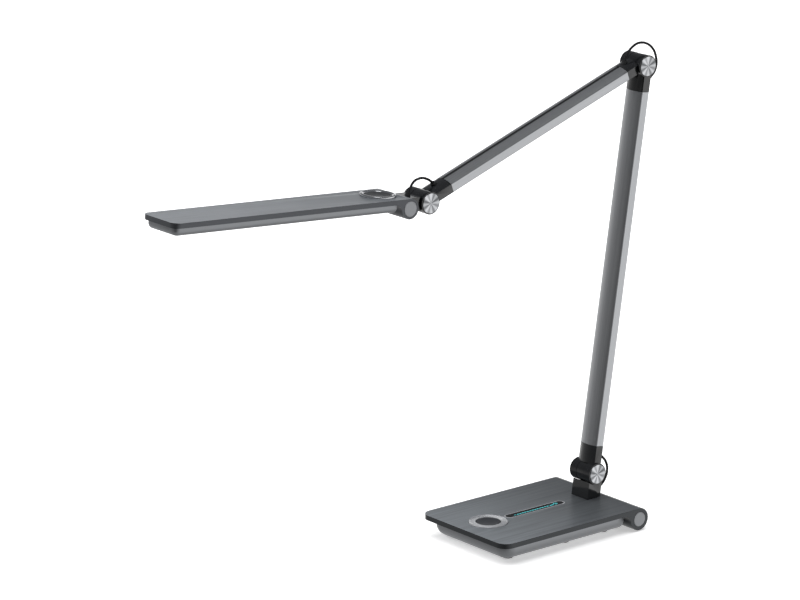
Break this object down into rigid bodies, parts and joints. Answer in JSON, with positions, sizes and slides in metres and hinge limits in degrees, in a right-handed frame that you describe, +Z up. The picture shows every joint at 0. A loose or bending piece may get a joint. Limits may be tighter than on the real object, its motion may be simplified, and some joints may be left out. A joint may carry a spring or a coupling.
{
  "type": "swing arm desk lamp",
  "caption": "Desk lamp with a weighted flat base, a turning post, two hinged extruded arms and a long flat light head; braided leads loop over the hinges.",
  "frame": {"origin": "centre of the whole lamp's bounding box in X and Y, at the level of the table it stands on", "axes": "+Z up, -Y towards the front, where the light head reaches; +X to the user's right; the lamp is symmetric about X = 0"},
  "size_m": [0.1308, 0.6203, 0.4879],
  "materials": {
    "anodised_grey": "dark grey anodised, brushed along its length",
    "cap_grey": "fine textured grey",
    "tray_grey": "satin grey metallic paint",
    "cast_iron": "as cast",
    "circuit_board": "green solder mask",
    "black_plastic": "satin moulded black",
    "gloss_black": "polished black",
    "spun_steel": "spun or satin silver",
    "braid": "black braided sleeve",
    "anodised_silver": "satin silver anodised",
    "diffuser": "frosted white",
    "rubber": "soft black rubber"
  },
  "bodies": {
    "base": {"base_plate": "anodised_grey", "base_tube_cap_left": "cap_grey", "base_tube_cap_right": "cap_grey", "base_undertray": "tray_grey", "ballast_slab": "cast_iron", "control_board": "circuit_board", "foot_1": "rubber", "foot_2": "rubber", "foot_3": "rubber", "foot_4": "rubber", "foot_5": "rubber", "foot_6": "rubber", "undertray_screw_1": "spun_steel", "undertray_screw_2": "spun_steel", "undertray_screw_3": "spun_steel", "undertray_screw_4": "spun_steel", "power_inlet": "black_plastic", "touch_strip": "gloss_black", "touch_strip_rim": "spun_steel", "base_button_bezel": "spun_steel", "swivel_spigot": "spun_steel"},
    "base_button": {"base_button": "black_plastic"},
    "post": {"post_block": "black_plastic", "lower_lead_post_gland": "black_plastic", "lower_hinge_lead": "braid"},
    "lower_arm": {"lower_hinge_axle": "spun_steel", "lower_hinge_disc_left": "spun_steel", "lower_hinge_disc_right": "spun_steel", "lower_arm_foot_fitting": "black_plastic", "lower_lead_arm_gland": "black_plastic", "lower_arm_tube": "anodised_silver", "lower_channel_strip": "black_plastic", "lower_arm_top_fitting": "black_plastic", "elbow_lead_lower_gland": "black_plastic", "elbow_axle": "spun_steel", "elbow_disc_left": "spun_steel", "elbow_disc_right": "spun_steel", "elbow_lead": "braid"},
    "upper_arm": {"upper_arm_rear_fitting": "black_plastic", "elbow_lead_upper_gland": "black_plastic", "upper_arm_tube": "anodised_silver", "upper_channel_strip": "black_plastic", "upper_arm_front_fitting": "black_plastic", "head_lead_arm_gland": "black_plastic", "head_hinge_axle": "spun_steel", "head_hinge_disc_left": "spun_steel", "head_hinge_disc_right": "spun_steel", "head_lead": "braid"},
    "head": {"head_neck": "black_plastic", "head_lead_neck_gland": "black_plastic", "head_plate": "anodised_grey", "head_tube_cap_left": "cap_grey", "head_tube_cap_right": "cap_grey", "head_tray": "tray_grey", "head_diffuser": "diffuser", "head_led_board": "circuit_board", "head_button_bezel": "spun_steel"},
    "head_button": {"head_button": "gloss_black"}
  },
  "joints": [
    {"name": "base_swivel", "type": "hinge", "parent": "base", "child": "post", "pos_m": [0, 0.21992, 0.0247], "axis": [0, 0, 1], "range_deg": [-90, 90]},
    {"name": "lower_hinge", "type": "hinge", "parent": "post", "child": "lower_arm", "pos_m": [0, 0.22312, 0.0506], "axis": [1, 0, 0], "range_deg": [-30, 65], "deforming": ["lower_hinge_lead"]},
    {"name": "elbow", "type": "hinge", "parent": "lower_arm", "child": "upper_arm", "pos_m": [0, 0.28354, 0.46564], "axis": [1, 0, 0], "range_deg": [-100, 25], "deforming": ["elbow_lead"]},
    {"name": "head_hinge", "type": "hinge", "parent": "upper_arm", "child": "head", "pos_m": [0, 0.00251, 0.37079], "axis": [1, 0, 0], "range_deg": [-60, 75], "deforming": ["head_lead"]},
    {"name": "base_button_press", "type": "slide", "parent": "base", "child": "base_button", "axis": [0, 0, -1], "range_m": [0, 0.001], "stiffness_N_per_m": 600},
    {"name": "head_button_press", "type": "slide", "parent": "head", "child": "head_button", "axis": [0, -0.0785, -0.9969], "range_m": [0, 0.001], "stiffness_N_per_m": 600}
  ]
}
